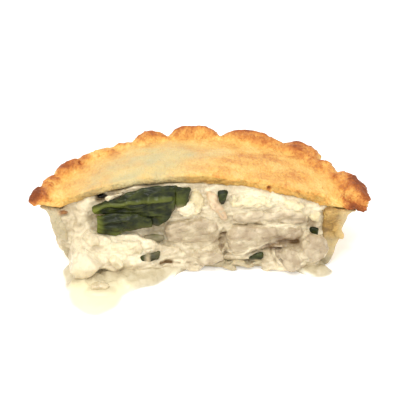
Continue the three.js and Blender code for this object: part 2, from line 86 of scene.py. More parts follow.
def turned(points, angle):
    """The points turned in the cut face, so that their X runs at an angle above +X, in degrees."""
    turn = math.radians(angle)
    x = points[:, 0] * math.cos(turn) + points[:, 2] * math.sin(turn)
    z = points[:, 2] * math.cos(turn) - points[:, 0] * math.sin(turn)
    return np.stack([x, points[:, 1], z], axis=1)


def shards(points, cells, seed=0):
    """Relief from about -0.5 to 0.5 of torn flakes of that size, each with its own height and tilt."""
    sway = np.stack([noise_at(points, 3, seed + 30 + axis) for axis in range(3)], axis=1)
    places = (points + sway) / np.asarray(cells, float) + 4.7 * (seed + 1)
    heights = []
    for place in places.tolist():
        _, centres = noise.voronoi(place)
        level = noise.noise(centres[0] * 3.7)  # spread apart, so that neighbours differ
        tilt = noise.noise_vector(centres[0] * 5.1)
        heights.append(0.6 * level + tilt.dot(Vector(place) - centres[0]))
    return np.array(heights)


def blisters(points, cell, share, seed=0):
    """Heights from 0 to 1 of round blisters, on a share of the cells of a scatter."""
    radius = 0.55  # of a blister, in cells
    heights = []
    for place in (points / cell + 5.3 * (seed + 1)).tolist():
        distances, centres = noise.voronoi(place)
        chosen = noise.cell(centres[0] * 7.1) % 1 < share
        heights.append(max(0, 1 - (distances[0] / radius) ** 2) if chosen else 0)
    return np.array(heights)


def ledges(points, thickness, seed=0):
    """Relief from -0.5 to 0.5 of the ends of thin layers, which lie one on another along Z."""
    height = points[:, 2] + 1.3 * noise_at(points, 8, seed) + 0.4 * noise_at(points, 2.5, seed + 1)
    patchy = smoothstep(noise_at(points, 5, seed + 2), -0.35, 0.3)
    return patchy * ((height / thickness) % 1 - 0.5)


def layers(points, normals, thickness, seed=0):
    """Relief of pastry's layers, where they end on an upright face."""
    upright = fade(np.abs(normals[:, 2]), 0.45, 0.85)
    return upright * ledges(points, thickness, seed)


def patches(points, spots):
    """The sum of soft spots at each point, each (centre, radii along X, Y and Z, amount)."""
    total = np.zeros(len(points))
    for centre, radii, amount in spots:
        away = np.linalg.norm((points - centre) / radii, axis=1)
        total += amount * fade(away, 0.2, 1)
    return total


def strokes(points, routes):
    """The sum of soft lines in the cut face, each ([(x, z), ...], half width, amount)."""
    flat = points[:, [0, 2]]
    total = np.zeros(len(points))
    for route, half_width, amount in routes:
        nearest = np.full(len(points), np.inf)
        for start, end in zip(np.array(route[:-1], float), np.array(route[1:], float)):
            along = end - start
            share = np.clip((flat - start) @ along / (along @ along), 0, 1)
            away = np.linalg.norm(flat - start - share[:, None] * along, axis=1)
            nearest = np.minimum(nearest, away)
        total += amount * fade(nearest, 0, half_width)
    return total


def ragged(points):
    """Shares from 0 to 1 that break a smooth line up."""
    return smoothstep(noise_at(points, (1.8, 4, 1.8), 120), -0.45, 0.35)


def cut_at(x):
    """Where the cut is along y: hollow in the middle."""
    return CUT_HOLLOW * (1 - np.clip(np.abs(x) / RIM_RADIUS, 0, 1) ** 2)


def near_cut(points, start, end):
    """1 for points less than start millimetres behind the cut, 0 beyond end, and a fall between."""
    return fade(points[:, 1] - cut_at(points[:, 0]), start, end)


# ---------------------------------------------------------------- meshes


def points_of(mesh):
    """The mesh's vertices in the pie's millimetres."""
    flat = np.empty(len(mesh.vertices) * 3)
    mesh.vertices.foreach_get("co", flat)
    return flat.reshape(-1, 3) / MM - PIE_CENTRE


def set_points(mesh, points):
    mesh.vertices.foreach_set("co", ((points + PIE_CENTRE) * MM).ravel())
    mesh.update()


def normals_of(mesh):
    flat = np.empty(len(mesh.vertices) * 3)
    mesh.vertex_normals.foreach_get("vector", flat)
    return flat.reshape(-1, 3)


def flatten(mesh, faces):
    """Makes flat faces on a rounded piece, each (direction, depth in millimetres that it takes off)."""
    for direction, depth in faces:
        towards = np.array(Vector(direction).normalized())
        points = points_of(mesh)
        reached = points @ towards
        beyond = np.clip(reached - reached.max() + depth, 0, None)
        set_points(mesh, points - beyond[:, None] * towards)


def push(mesh, relief):
    """Moves each vertex along its normal, in millimetres."""
    set_points(mesh, points_of(mesh) + normals_of(mesh) * np.asarray(relief)[..., None])


def paint(mesh, name, values):
    """Keeps a value for each vertex, which the materials read by that name."""
    attribute = mesh.attributes.new(name, "FLOAT", "POINT")
    attribute.data.foreach_set("value", np.clip(values, 0, 1).astype(np.float32))


def tree_of(mesh):
    """A mesh's faces, for finding what lies nearest to a point or along a ray."""
    corners = [vert.co for vert in mesh.vertices]
    return BVHTree.FromPolygons(corners, [polygon.vertices for polygon in mesh.polygons])


def reach(tree, start, direction):
    """How far a ray goes from a point until it meets a tree's surface, in millimetres."""
    place = (Vector(start) + Vector(PIE_CENTRE)) * MM
    return tree.ray_cast(place, Vector(direction))[3] / MM


def new_object(name, data):
    obj = bpy.data.objects.new(name, data)
    bpy.context.scene.collection.objects.link(obj)
    return obj


def apply_modifiers(obj):
    """Gives an object the mesh that its modifiers make, smoothly shaded."""
    graph = bpy.context.evaluated_depsgraph_get()
    mesh = bpy.data.meshes.new_from_object(obj.evaluated_get(graph))
    obj.modifiers.clear()
    obj.data = mesh
    for polygon in mesh.polygons:
        polygon.use_smooth = True


def add_blob(shape, centre, radii, lean=0):
    """A rounded lump in a bmesh, in the pie's millimetres, turned in the cut face by lean degrees."""
    size = Matrix.Diagonal((*(Vector(radii) * MM), 1))
    place = Matrix.Translation((Vector(centre) + Vector(PIE_CENTRE)) * MM)
    turn = Matrix.Rotation(math.radians(-lean), 4, "Y")
    bmesh.ops.create_icosphere(shape, subdivisions=3, radius=1, matrix=place @ turn @ size)


def add_smoothing(obj, iterations):
    smooth = obj.modifiers.new("smooth", "SMOOTH")
    smooth.factor = 0.5
    smooth.iterations = iterations
    return smooth


def smoothed(obj, iterations, weights=None):
    """Smooths an object's mesh, everywhere or by a weight from 0 to 1 for each vertex."""
    smooth = add_smoothing(obj, iterations)
    if weights is not None:
        group = obj.vertex_groups.new(name="smoothing")
        for index, weight in enumerate(weights.tolist()):
            group.add([index], weight, "REPLACE")
        smooth.vertex_group = group.name
    apply_modifiers(obj)
    obj.vertex_groups.clear()


def hollowness(obj, iterations):
    """How deep each vertex lies in a dent, in millimetres: how far smoothing would lift it."""
    add_smoothing(obj, iterations)
    graph = bpy.context.evaluated_depsgraph_get()
    even = bpy.data.meshes.new_from_object(obj.evaluated_get(graph))
    obj.modifiers.clear()
    lift = np.sum((points_of(even) - points_of(obj.data)) * normals_of(obj.data), axis=1)
    bpy.data.meshes.remove(even)
    return lift


def even_mesh(name, shape, voxel, smoothing):
    """An object with an even fine mesh round everything in a bmesh."""
    mesh = bpy.data.meshes.new(name)
    shape.to_mesh(mesh)
    shape.free()
    obj = new_object(name, mesh)
    remesh = obj.modifiers.new("remesh", "REMESH")
    remesh.mode = "VOXEL"
    remesh.voxel_size = voxel * MM
    smoothed(obj, smoothing)
    return obj


def pull_about(shape, amount, seed):
    """Moves a coarse bmesh's vertices about in millimetres, which leaves it with uneven flat faces."""
    cell = 2.6 * MM
    for vert in shape.verts:
        place = vert.co / cell + Vector((seed * 9.1, seed * 4.7, seed * 6.3))
        vert.co += noise.noise_vector(place) * amount * MM


def remeshed(name, node, voxel, smoothing=4, blobs=(), uneven=0, seed=0):
    """A finely meshed copy of a CAD node, together with blobs."""
    shape = bmesh.new()
    shape.from_mesh(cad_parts[node].data)
    pull_about(shape, uneven, seed)
    for blob in blobs:
        add_blob(shape, *blob)
    return even_mesh(name, shape, voxel, smoothing)


def joined(name, objects, voxel, smoothing=4, blobs=()):
    """One finely meshed object round several, which are taken away, and blobs."""
    shape = bmesh.new()
    for obj in objects:
        shape.from_mesh(obj.data)
        bpy.data.objects.remove(obj)
    for blob in blobs:
        add_blob(shape, *blob)
    return even_mesh(name, shape, voxel, smoothing)


def refine(obj, chosen):
    """Halves the mesh's edges where a function of its points says so."""
    mesh = obj.data
    inside = chosen(points_of(mesh))
    shape = bmesh.new()
    shape.from_mesh(mesh)
    shape.verts.ensure_lookup_table()
    edges = [edge for edge in shape.edges if all(inside[vert.index] for vert in edge.verts)]
    bmesh.ops.subdivide_edges(shape, edges=edges, cuts=1, use_grid_fill=True, smooth=0.5)
    shape.to_mesh(mesh)
    shape.free()


def dress(obj, slot, material, *nodes):
    """Finishes a piece: its material, the nodes that it stands for, and the body it rides on."""
    points = points_of(obj.data)  # nothing reaches below the plate
    points[:, 2] = np.maximum(points[:, 2], 0)
    set_points(obj.data, points)
    obj.data.materials.clear()
    obj.data.materials.append(material)
    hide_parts(*nodes)
    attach(obj, "root")


# ---------------------------------------------------------------- materials


def linear(red, green, blue):
    """A colour as Blender wants it, from how it looks, with shares from 0 to 255."""
    shares = [value / 255 for value in (red, green, blue)]
    return (*(s / 12.92 if s <= 0.04045 else ((s + 0.055) / 1.055) ** 2.4 for s in shares), 1)


class Nodes:
    """The node tree of a new material, with short ways to add what most of them need."""

    def __init__(self, name):
        self.material = bpy.data.materials.new(name)
        self.material.use_nodes = True
        self.tree = self.material.node_tree
        self.shader = self.tree.nodes["Principled BSDF"]
        self.place = self.add("ShaderNodeTexCoord").outputs["Object"]

    def add(self, kind, inputs=None, **settings):
        """A new node, with what goes into its sockets and its other settings."""
        node = self.tree.nodes.new(kind)
        for key, value in settings.items():
            setattr(node, key, value)
        for key, value in (inputs or {}).items():
            self.put(node.inputs[key], value)
        return node

    def put(self, socket, value):
        """Links a socket to another one, or sets it to a plain value."""
        if isinstance(value, bpy.types.NodeSocket):
            self.tree.links.new(value, socket)
        else:
            socket.default_value = value

    def attribute(self, name):
        """What paint() has kept for each vertex by that name."""
        return self.add("ShaderNodeAttribute", attribute_name=name).outputs["Fac"]

    def math(self, operation, first, second):
        return self.add("ShaderNodeMath", {0: first, 1: second}, operation=operation).outputs[0]

    def noise(self, size, detail=3, stretch=(1, 1, 1), distortion=0.0):
        """Noise with features about size millimetres across, from 0 to 1."""
        scale = [1 / (MM * size * share) for share in stretch]
        place = self.add("ShaderNodeMapping", {"Vector": self.place, "Scale": scale}).outputs[0]
        inputs = {"Vector": place, "Scale": 1, "Detail": detail, "Distortion": distortion}
        return self.add("ShaderNodeTexNoise", inputs).outputs["Fac"]

    def swing(self, value, amount):
        """A value from 0 to 1, turned into one from -amount to amount."""
        return self.math("MULTIPLY", self.math("SUBTRACT", value, 0.5), 2 * amount)

    def ramp(self, value, stops):
        """A colour for a value, from stops that are each (value, colour)."""
        node = self.add("ShaderNodeValToRGB", {"Fac": value})
        elements = node.color_ramp.elements
        while len(elements) < len(stops):
            elements.new(0.5)
        for element, (position, colour) in zip(elements, stops):
            element.position = position
            element.color = colour
        return node.outputs["Color"]

    def blend(self, share, first, second):
        """The first colour where share is 0, the second where it is 1, and mixes between."""
        node = self.add("ShaderNodeMix", {"Factor": share}, data_type="RGBA")
        self.put(node.inputs[6], first)
        self.put(node.inputs[7], second)
        return node.outputs[2]

    def bump(self, height, depth):
        """Relief in the shading alone, of that depth in millimetres, or in metres from a socket."""
        distance = depth if isinstance(depth, bpy.types.NodeSocket) else depth * MM
        inputs = {"Height": height, "Distance": distance, "Strength": 1}
        self.put(self.shader.inputs["Normal"], self.add("ShaderNodeBump", inputs).outputs[0])

    def set(self, **inputs):
        """Sets the shader's own sockets, whose names have spaces for the underscores."""
        for key, value in inputs.items():
            self.put(self.shader.inputs[key.replace("_", " ")], value)


def glow(nodes, weight, radii, scale):
    """Light that spreads under the surface: radii for red, green and blue, by scale in millimetres."""
    nodes.set(Subsurface_Weight=weight, Subsurface_Radius=radii, Subsurface_Scale=scale * MM)


# The pastry's colours: from pale to browned, where it is cut or darkened by painted shade, over the
# leaves, and where it is wet.
BAKED_COLOURS = [
    (0.0, linear(216, 194, 142)),
    (0.18, linear(230, 202, 136)),
    (0.36, linear(238, 200, 118)),
    (0.5, linear(232, 174, 88)),
    (0.64, linear(208, 136, 64)),
    (0.8, linear(176, 98, 42)),
    (1.0, linear(128, 64, 27)),
]
CRUMB_AND_SHADE_COLOURS = [(0.3, linear(118, 82, 28)), (0.5, linear(166, 126, 56)), (0.7, linear(206, 168, 92))]
GREENISH = linear(205, 188, 136)
SOAKED = linear(192, 177, 143)

# Mottles of the baked surface, as (size in millimetres, detail, how far they change the browning).
MOTTLES = [(6, 5, 0.16), (2.2, 4, 0.14), (0.8, 4, 0.18)]


def pastry(name):
    """Baked pastry, whose colour follows how brown the vertices are painted, with crumb colour at the cut
    and as painted shade.
    """
    nodes = Nodes(name)
    bake = nodes.attribute("bake")
    for size, detail, amount in MOTTLES:
        mottle = nodes.noise(size, detail, (1, 2, 1), 0.6)
        bake = nodes.math("ADD", bake, nodes.swing(mottle, amount))
    specks = nodes.math("GREATER_THAN", nodes.noise(0.9, 2, (1, 1.6, 1)), 0.7)
    bake = nodes.math("ADD", bake, nodes.math("MULTIPLY", specks, 0.14))
    colour = nodes.ramp(bake, BAKED_COLOURS)
    crumb = nodes.ramp(nodes.noise(1.6, 4, (1.8, 1.6, 1), 0.8), CRUMB_AND_SHADE_COLOURS)
    # the crumb colours are the cut's own, and also painted shade where that is painted
    colour = nodes.blend(nodes.attribute("crumb_and_shade"), colour, crumb)
    colour = nodes.blend(nodes.attribute("tint"), colour, GREENISH)
    colour = nodes.blend(nodes.attribute("soaked"), colour, SOAKED)
    nodes.set(Base_Color=colour, Roughness=0.5, Specular_IOR_Level=0.22)
    glow(nodes, 0.2, (1, 0.6, 0.3), 1.2)
    nodes.bump(nodes.noise(1.3, 6, (1, 1.8, 1), 1), 0.9)
    return nodes.material


CREAM_PALE = linear(236, 222, 188)
CREAM_PLAIN = linear(184, 166, 132)
# the nearly black painted shade in a gap
GAP_SHADE = linear(10, 6, 3)


def creamy(name, pale, plain, painted_shade, roughness, bump_size=0.9, bump_depth=0.4):
    """Wet cooked food: its own two colours, cream where that is painted, paler where painted highlights
    are painted, and darker in hollows and a gap with painted shade.
    """
    nodes = Nodes(name)
    cloud = nodes.swing(nodes.noise(2.6, 5, distortion=1), 0.8)
    share = nodes.math("ADD", nodes.attribute("pale"), cloud)
    own = nodes.blend(share, linear(*plain), linear(*pale))
    cream = nodes.blend(share, CREAM_PLAIN, CREAM_PALE)
    colour = nodes.blend(nodes.attribute("coated"), own, cream)
    # painted shade in hollows and creases, and nearly black painted shade in a gap
    colour = nodes.blend(nodes.attribute("painted_shade"), colour, linear(*painted_shade))
    colour = nodes.blend(nodes.attribute("gap_shade"), colour, GAP_SHADE)
    nodes.set(Base_Color=colour, Roughness=roughness, Specular_IOR_Level=0.5)
    glow(nodes, 0.3, (1, 0.75, 0.45), 0.8)
    nodes.bump(nodes.noise(bump_size, 5, distortion=0.5), bump_depth)
    return nodes.material


LEAF_GREENS = [(0.3, linear(20, 24, 9)), (0.5, linear(34, 39, 14)), (0.7, linear(60, 66, 24))]
VEIN_GREEN = linear(112, 118, 44)


def leafy(name):
    """Wilted spinach: dark green, lighter along the veins and at the edges, wet and wrinkled."""
    nodes = Nodes(name)
    green = nodes.ramp(nodes.noise(2.2, 5, (2, 1, 1), 0.8), LEAF_GREENS)
    lit = nodes.blend(nodes.attribute("vein"), green, VEIN_GREEN)
    colour = nodes.blend(nodes.attribute("coated"), lit, CREAM_PLAIN)
    nodes.set(Base_Color=colour, Roughness=0.2, Specular_IOR_Level=0.2)
    glow(nodes, 0.1, (0.4, 0.6, 0.2), 1)
    nodes.bump(nodes.noise(1.2, 4, (2.4, 1, 1), 0.8), 0.4)
    return nodes.material


# The sauce's colours, each from where its noise is low to where it is high, and at its very edge.
THIN_SAUCE = (linear(249, 240, 198), linear(244, 233, 188))
THICK_SAUCE = (linear(172, 155, 122), linear(212, 199, 166))
SAUCE_EDGE = linear(255, 254, 246)


def saucy(name):
    """Thin pale yellow sauce, thicker and duller beside the pie."""
    nodes = Nodes(name)
    thin = nodes.blend(nodes.noise(9, 3), *THIN_SAUCE)
    thin = nodes.blend(nodes.attribute("edge"), thin, SAUCE_EDGE)
    thick = nodes.blend(nodes.noise(2.4, 4), *THICK_SAUCE)
    thickness = nodes.attribute("thick")
    colour = nodes.blend(thickness, thin, thick)
    nodes.set(Base_Color=colour, Roughness=0.18, Specular_IOR_Level=0.4)
    nodes.bump(nodes.noise(1.6, 4), nodes.math("MULTIPLY", thickness, 0.5 * MM))
    return nodes.material


LID_PASTRY = pastry("lid_pastry")
CASE_PASTRY = pastry("case_pastry")

# The creamy foods, each with its pale colour, which painted highlights also take, its plain colour, the
# colour of its painted shade, its roughness, and its bumps' size and depth in millimetres.
FILLING = creamy("creamy_filling", (238, 223, 186), (196, 178, 142), (120, 90, 52), 0.2, 1.1, 0.55)
CHICKEN = creamy("chicken_meat", (204, 186, 154), (162, 141, 110), (104, 76, 48), 0.32)
PINK_MEAT = creamy("pink_meat", (224, 198, 160), (206, 172, 132), (150, 106, 66), 0.32)
CHEESE = creamy("white_cheese", (238, 222, 180), (216, 198, 152), (176, 150, 100), 0.4, 0.8, 0.7)
ONION = creamy("cooked_onion", (222, 207, 170), (198, 181, 144), (150, 134, 88), 0.2, 0.9, 0.2)
SPINACH = leafy("wilted_spinach")
SAUCE = saucy("thin_sauce")


# ---------------------------------------------------------------- pastry

# Browner and paler patches of the lid, as (centre, radii, amount).
LID_PATCHES = [
    ((24, 31, 33), (17, 9, 9), 0.16),
    ((12, 20, 33), (16, 6, 9), 0.08),
    ((36, 36, 31), (12, 3, 9), 0.12),
    ((38, 16, 31), (10, 8, 9), 0.1),
    ((-17, 9, 33), (20, 9, 9), -0.16),
    ((-13, 24, 34), (14, 8, 9), -0.16),
    ((-22, 40, 32), (12, 5, 9), -0.1),
    ((-61, 1, 30), (5, 8, 6), 0.34),
    ((-53, 16, 31), (5, 6, 6), 0.1),
    ((-51, 25, 31), (4, 4, 6), 0.14),
    ((60, 9, 31), (7, 9, 5), 0.12),
    ((59, 0, 25), (6, 6, 4), 0.44),
    ((62, 4, 22), (6, 9, 4), 0.3),
    ((56, 0, 27), (5, 5, 3), 0.25),
    ((-61, 2, 30), (4, 5, 5), 0.2),
    ((51, 0, 27), (5, 4, 5), -0.1),
    ((-54, 3, 28), (6, 8, 4), -0.12),
    ((-45, 27, 29), (5, 5, 6), 0.08),
]

# Where the green of the leaves shows through the lid, in the same form.
LID_TINTS = [
    ((-20, 20, 34), (34, 28, 14), 0.95),
    ((-24, 3, 32), (28, 8, 12), 0.55),
    ((-42, 8, 30), (12, 12, 8), 0.35),
    ((-14, 42, 32), (26, 12, 12), 0.4),
    ((4, 30, 34), (16, 12, 12), 0.3),
]

# Pits that have baked darker, as (centre, radii, depth).
LID_PITS = [
    ((-45.6, 29.3, 28.9), (1, 1.2, 2), 0.9),
    ((26.4, 1.8, 32), (1.2, 1.6, 1.4), 1.4),
    ((40, 24, 30.5), (0.9, 1, 2), 0.6),
]

LID_VOXEL = 0.45  # the size of the mesh's faces, in millimetres, as in the other VOXEL values
LID_LAYER = 1.2  # the thickness of the pastry's layers, which show at the cut
LID_LAYER_TILT = -14  # how they lie in the cut face, in degrees above +X
LID_FLAKE_TILT = -24  # how the loose flakes between them lie
LID_BAKE = 0.46  # how brown the lid is on average


def lid_relief(points, normals, rim, right):
    """Waves and flakes of the top, bumps of the rim, layers at the cut, and blisters."""
    ends = rim * smoothstep(np.abs(points[:, 0]), 47, 56)
    top = smoothstep(normals[:, 2], 0.1, 0.6)
    edge = near_cut(points, 1, 4)
    relief = 0.5 * (1 - rim) * top * noise_at(points, 11, 1)
    relief += 0.2 * top * noise_at(points, (4, 7, 4), 2) + 0.3 * top * shards(points, (5, 9, 4), 15)
    relief += rim * (0.7 * noise_at(points, 4.6, 3) + 0.15 * noise_at(points, 1.6, 4))
    relief += 0.3 * rim * shards(points, (5, 5, 3), 9)
    lid_layers = layers(turned(points, LID_LAYER_TILT), normals, LID_LAYER, 5)
    relief += (0.4 + 0.4 * right) * lid_layers
    relief += 0.35 * edge * noise_at(points, (6, 4, 3), 16) + 0.3 * edge * shards(points, (5, 4, 2), 17)
    relief += 1.2 * right * edge * shards(turned(points, LID_FLAKE_TILT), (6, 4, 1.3), 21)
    relief += 0.25 * top * blisters(points, 4.2, 0.25, 6) * (0.3 + 0.7 * rim)
    relief += 0.5 * ends * blisters(points, 2.6, 0.5, 10)
    return relief


def lid_bake(obj, radius, rim, pits):
    """How brown the lid is: more on the rim's crest, in pits and on all that stands out."""
    points = points_of(obj.data)
    crest = rim * smoothstep(points[:, 2], SEAM_HEIGHT + 2, CREST_HEIGHT + 1)
    outer = smoothstep(radius, RIM_RADIUS - 6, RIM_RADIUS)
    bumps = np.clip(-hollowness(obj, 14), -0.4, 0.4)
    bake = LID_BAKE + patches(points, LID_PATCHES) + 0.2 * crest + 0.18 * outer * crest
    bake += 0.16 * rim * noise_at(points, 4, 7) + 0.1 * noise_at(points, 7, 8)
    bake += 0.4 * bumps * (0.3 + rim) + 0.5 * pits
    return bake


def pastry_lid():
    obj = remeshed("lid", "pastry_lid", LID_VOXEL)
    smoothed(obj, iterations=26, weights=near_cut(points_of(obj.data), 2, 5))
    mesh = obj.data
    points, normals = points_of(mesh), normals_of(mesh)
    radius = np.hypot(points[:, 0], points[:, 1])
    rim = smoothstep(radius, DOME_RADIUS - 1, DOME_RADIUS + 6)
    right = smoothstep(points[:, 0], 4, 24)
    pits = patches(points, LID_PITS)
    push(mesh, lid_relief(points, normals, rim, right) - pits)
    points, normals = points_of(mesh), normals_of(mesh)
    facing = smoothstep(-normals[:, 1], 0.3, 0.9) * near_cut(points, 1, 3.5)
    under = smoothstep(-normals[:, 2], 0.1, 0.6)
    body = fade(np.abs(points[:, 0]), 42, 52)
    # crumb colour where the cut faces forward, and painted shade on the band's underside, which faces
    # down
    crumb = np.maximum(facing, under) * body * (1 - 0.55 * right)
    paint(mesh, "crumb_and_shade", crumb * (0.95 + 0.5 * noise_at(points, 3, 18)))
    paint(mesh, "bake", lid_bake(obj, radius, rim, pits))
    paint(mesh, "tint", patches(points, LID_TINTS) * (0.8 + 0.5 * noise_at(points, (5, 9, 5), 19)))
    paint(mesh, "soaked", 0.06 * under * (1 - rim))
    dress(obj, "pastry_lid", LID_PASTRY, "pastry_lid")


# Torn flaps of the soaked base, a scrap on the right wall and a crumb below the lid's left end, as
# (centre, radii, lean).
CRUST_FLAPS = [
    ((-2, -1.6, 1.2), (3.4, 1.6, 0.7), 6),
    ((4, -2.2, 2.2), (3.2, 1.4, 0.6), -8),
    ((8.6, -1.8, 3), (2.6, 1.8, 0.6), 16),
    ((11.6, -3, 1.2), (3.4, 1.6, 0.8), -6),
    ((15.4, -2, 3.2), (3, 1.8, 0.6), 10),
    ((18.6, -2.8, 1.8), (3, 1.5, 0.8), -14),
    ((22.6, -2, 3.2), (2.8, 1.8, 0.7), 12),
    ((25.8, -2.4, 1.4), (2.8, 1.5, 0.8), -10),
    ((53.6, 0.4, 13.6), (1.2, 1.6, 2.4), 20),
    ((-49, 0, 23), (2.2, 1.4, 1.2), 10),
]
CRUMB_BELOW_LID = ((-49, 0, 23), (3, 4, 2), 0.9)  # browner, as (centre, radii, amount)

CASE_VOXEL = 0.5
CASE_LAYER = 1.1  # the thickness of the pastry's layers


def pastry_case():
    obj = remeshed("case", "pastry_case", CASE_VOXEL, smoothing=5, blobs=CRUST_FLAPS)
    smoothed(obj, iterations=12, weights=near_cut(points_of(obj.data), 1, 3))
    mesh = obj.data
    points, normals = points_of(mesh), normals_of(mesh)
    face = near_cut(points, -0.5, 2)
    relief = 0.7 * noise_at(points, 6, 11) + 0.3 * noise_at(points, 2.2, 12)
    relief += 0.45 * layers(points, normals, CASE_LAYER, 13) * (1 - face)
    relief += face * (0.5 * noise_at(points, (2, 2, 6), 16) + 0.5 * noise_at(points, 3.4, 18))
    relief[points[:, 2] < FLAT_BELOW] = 0
    push(mesh, relief)
    points = points_of(mesh)
    high = smoothstep(points[:, 2], 12, SEAM_HEIGHT)
    low = fade(points[:, 2], 3, 9)
    soaked = near_cut(points, 0.5, 6)
    smear = 0.5 + 0.5 * smoothstep(noise_at(points, (5, 6, 9), 15), -0.3, 0.4)
    hollow_shade = smoothstep(hollowness(obj, 14), 0.05, 0.4)
    crumb = patches(points, [CRUMB_BELOW_LID])
    paint(mesh, "bake", 0.25 + 0.14 * high + 0.14 * noise_at(points, 5, 14) + 0.1 * relief + crumb)
    # the right wall's inside, which is darkened with painted shade
    inner = smoothstep(points[:, 0], 30, 40) * fade(points[:, 0], 51, 56)  # the right wall's inside
    inner *= smoothstep(points[:, 2], 6, 16)
    smear = np.maximum(smear * (1 - 0.2 * high), fade(points[:, 0], -40, -20))
    smear = np.maximum(low, smear) * (1 - 0.8 * inner) * (1 - np.minimum(crumb, 1))
    paint(mesh, "soaked", soaked * smear)
    # crumb colour at the cut, and painted shade on the right wall's inside and in the dents low down
    paint(mesh, "crumb_and_shade", soaked * (0.1 + 0.2 * high + 0.8 * inner + 0.5 * low * hollow_shade))
    # greenish painted shade in the dents near the cut
    paint(mesh, "tint", 0.4 * hollow_shade * soaked)
    dress(obj, "pastry_case", CASE_PASTRY, "pastry_case")


# ---------------------------------------------------------------- filling and its pieces

LEAVES_FROM, LEAVES_TO = -38, -2  # along x, where the large leaves lie under the lid
FRONT_DEPTH = 6  # the filling has relief and a finer mesh down to this far behind y = 0
SWOLLEN_VOXEL = 0.8  # of each piece's mesh while it is swollen
JOINED_VOXEL = 0.7  # of the one mesh round them all
FILLING_VOXEL = 0.66  # of the last mesh, before its front is refined
CLOSING = 2.2  # half the width of the gaps between pieces that the cream fills
SINK = 0.1  # how far the cream's face is below the pieces', on average
SWELL = 0.6  # how far the cream presses out against the pastry, at the cut

# Drips, smears and lumps of cream, as (centre, radii, lean).
CREAM_LUMPS = [
    ((-32.4, -0.4, 28.6), (1.2, 1.2, 1.9), -60),
    ((-29, 0, 30), (3, 1.2, 0.8), 18),
    ((-48.4, 1.3, 13), (4.6, 1.7, 11), 15),
    ((-43.6, -0.6, 15.4), (2.4, 1.8, 4), 12),
    ((-37, -4.6, 13.4), (5, 2, 2.6), -16),
    ((-30, -1.9, 11.6), (10, 1.7, 2.8), 6),
    ((-20.4, -2.6, 10), (6, 2.2, 3), -10),
    ((-17.6, -2.6, 7.4), (11, 1.8, 3.2), 0),
    ((-4.2, -1.8, 25.7), (3.3, 2.4, 2.8), -30),
    ((-31, -6.4, 6.6), (5, 2.6, 3), 0),
    ((-22, -5.4, 4), (8, 2.6, 3.2), 0),
    ((-12, -3.8, 2.6), (7, 2.4, 2.4), 4),
    ((12, 2.6, 30), (4, 1.4, 1), -4),
    ((30.5, 1.8, 27.6), (3, 1.5, 1.4), -20),
    ((6.6, 1.6, 13), (2, 1.6, 3), 12),
    ((4, 1.4, 22), (3, 1.4, 5), 10),
    ((17, -0.4, 4.8), (9, 1.8, 1.6), 6),
]

BEAD_STEP = 1.5  # from one bead of cream at the pastry to the next
BELOW_LID = 18  # a height inside the filling, from where the lid is felt for
WALL_BEADS = [(-1, 22), (1, 20)]  # the beads along each wall, as (side, how high they go)


def beads_below_lid():
    """Lumps of cream all along the lid's underside at the cut, apart from where the leaves are."""
    lid = tree_of(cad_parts["pastry_lid"].data)
    beads = []
    for x in np.arange(-CUT_HALF_WIDTH, CUT_HALF_WIDTH, BEAD_STEP):
        if LEAVES_FROM < x < LEAVES_TO:
            continue
        y = cut_at(x) + 1.6
        z = BELOW_LID + reach(lid, (x, y, BELOW_LID), (0, 0, 1))
        lift = 0.9 * noise.noise(Vector((x / 3, 0, 5)))
        size = 1 + 0.6 * noise.noise(Vector((x / 4, 7, 0)))
        beads.append(((x, y + lift, z - 1.5), (2.4 * size, 1.4 * size, 1.4), 0))
    return beads


def beads_at_walls():
    """Lumps of cream up the case's inner walls at the cut, where the filling presses against them."""
    case = tree_of(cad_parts["pastry_case"].data)
    y = cut_at(CUT_HALF_WIDTH)
    beads = []
    for side, top in WALL_BEADS:
        for z in np.arange(4, top, BEAD_STEP):
            x = side * reach(case, (0, y, z), (side, 0, 0))
            sway = (1.1 + 0.6 * side) * noise.noise(Vector((side, 3, z / 4)))
            beads.append(((x - side * 1.2 + sway, y + 0.6, z), (2.2, 1.4, 2.8), 0))
    return beads


# Cracks and folds in the cut face, as ([(x, z), ...], half width, depth).
CREASES = [
    ([(8.4, 17), (10, 14), (9, 11), (10.4, 7)], 1.7, 1.7),
    ([(13, 17), (17.6, 17.4), (21, 17.8), (25.4, 17.6)], 0.8, 0.9),
    ([(26, 11), (27, 8.4), (28.2, 6), (30.4, 3.4)], 1, 0.9),
    ([(-4, 4.4), (-1.6, 3.4), (2, 2.8)], 0.8, 0.6),
    ([(-38.6, 13), (-36.6, 11.4), (-33.6, 11)], 1.2, 0.5),
    ([(41.4, 21), (41.8, 18), (41, 15)], 1, 0.5),
    ([(20, 6.4), (24, 8.4), (29, 9), (33, 10.4), (37, 12)], 1.3, 1),
]

# Cracks in the cream, darkened with painted shade, in the same form.
CRACKS = [
    ([(-13.4, 4.7), (-11.4, 5), (-9.6, 4.8)], 0.8, 1),
    ([(-9.6, 4.8), (-8, 4.6), (-6.4, 4.2)], 0.6, 0.5),
]

# Thin wet rims of the chicken and the leek, in the same form.
RIMS = [
    ([(12.4, 6.6), (14.2, 5.6), (17.4, 6.8), (20, 9), (23.3, 9.6), (26, 11.4)], 0.8, 0.7),
    ([(38.8, 5), (42, 3.8), (45.8, 3.6), (47.4, 6), (47.6, 9)], 0.8, 0.9),
    ([(18, 18.4), (24, 18.8), (30, 18.4), (36, 18.6)], 0.7, 0.6),
    ([(-32, 8.2), (-29.6, 9.2), (-27.3, 5.9), (-29.5, 4.8), (-32, 8.2)], 0.7, 0.9),
]

